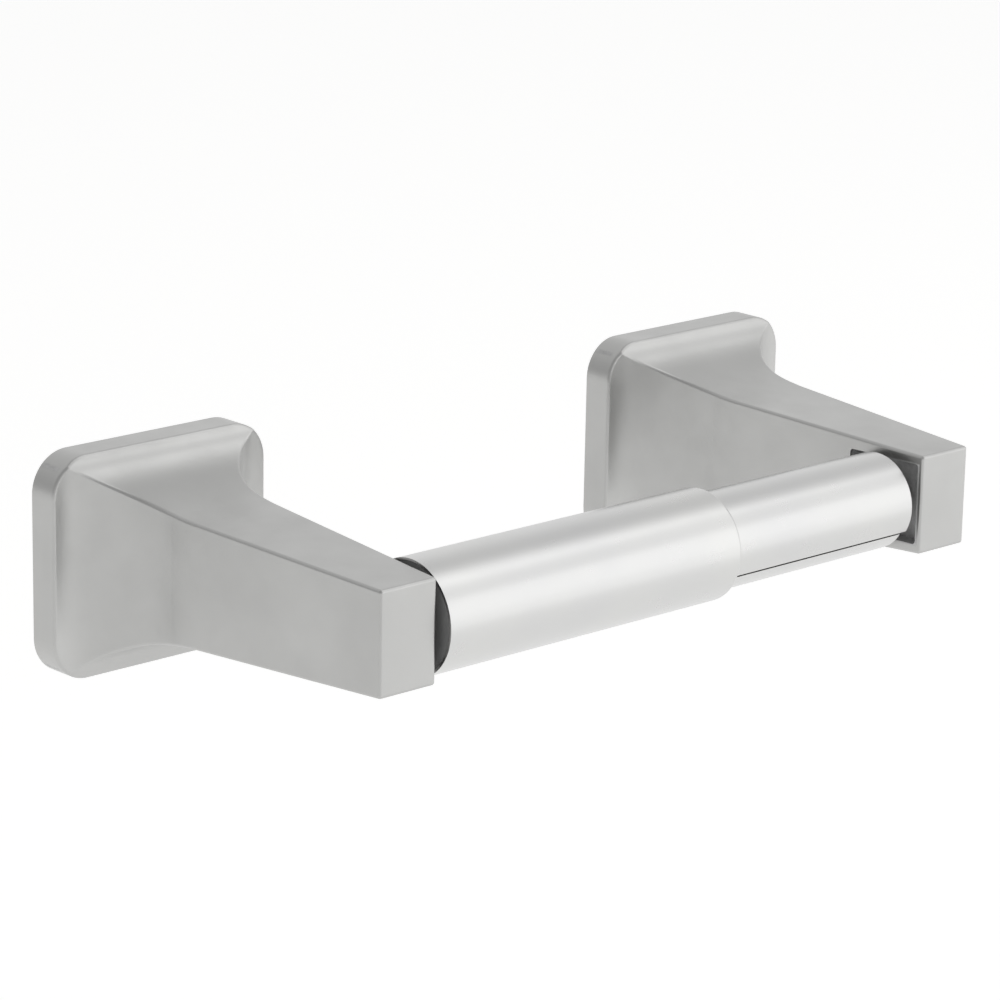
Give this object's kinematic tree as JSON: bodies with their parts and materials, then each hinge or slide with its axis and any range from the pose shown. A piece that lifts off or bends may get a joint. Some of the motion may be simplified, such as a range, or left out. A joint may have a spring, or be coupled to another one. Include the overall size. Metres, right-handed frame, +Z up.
{
  "type": "toilet paper holder",
  "caption": "Wall-mounted toilet paper holder: posts with concave square bases and a spring-loaded telescoping chrome roller between them.",
  "frame": {"origin": "on the wall plane, midway between the two posts, level with the roller's axis", "axes": "+X along the wall to the viewer's right, -Y out of the wall into the room, +Z up"},
  "size_m": [0.2102, 0.0861, 0.0474],
  "materials": {
    "post_chrome": "satin chrome plating on die-cast zinc",
    "roller_chrome": "bright chrome-plated tube",
    "zinc_plate": "plain zinc-plated plate",
    "screw_steel": "dull steel",
    "spring_steel": "drawn spring wire",
    "plug_plastic": "dark grey moulded plastic"
  },
  "bodies": {
    "frame": {"left_post": "post_chrome", "right_post": "post_chrome", "left_wall_plate": "zinc_plate", "right_wall_plate": "zinc_plate"},
    "left_screw": {"left_set_screw": "screw_steel"},
    "right_screw": {"right_set_screw": "screw_steel"},
    "roller_outer": {"roller_outer_tube": "roller_chrome", "left_end_plug": "plug_plastic", "roller_spring": "spring_steel"},
    "roller_inner": {"roller_inner_tube": "roller_chrome", "right_end_plug": "plug_plastic"}
  },
  "joints": [
    {"name": "roller_spin", "type": "hinge", "parent": "frame", "child": "roller_outer", "pos_m": [0, -0.07405, 0], "axis": [1, 0, 0], "continuous": true},
    {"name": "roller_telescope", "type": "slide", "parent": "roller_outer", "child": "roller_inner", "axis": [-1, 0, 0], "range_m": [0, 0.01], "stiffness_N_per_m": 400, "springref_m": -0.015, "deforming": ["roller_spring"]},
    {"name": "left_set_screw_travel", "type": "slide", "parent": "frame", "child": "left_screw", "axis": [0, 0, -1], "range_m": [0, 0.003]},
    {"name": "right_set_screw_travel", "type": "slide", "parent": "frame", "child": "right_screw", "axis": [0, 0, -1], "range_m": [0, 0.003]}
  ]
}
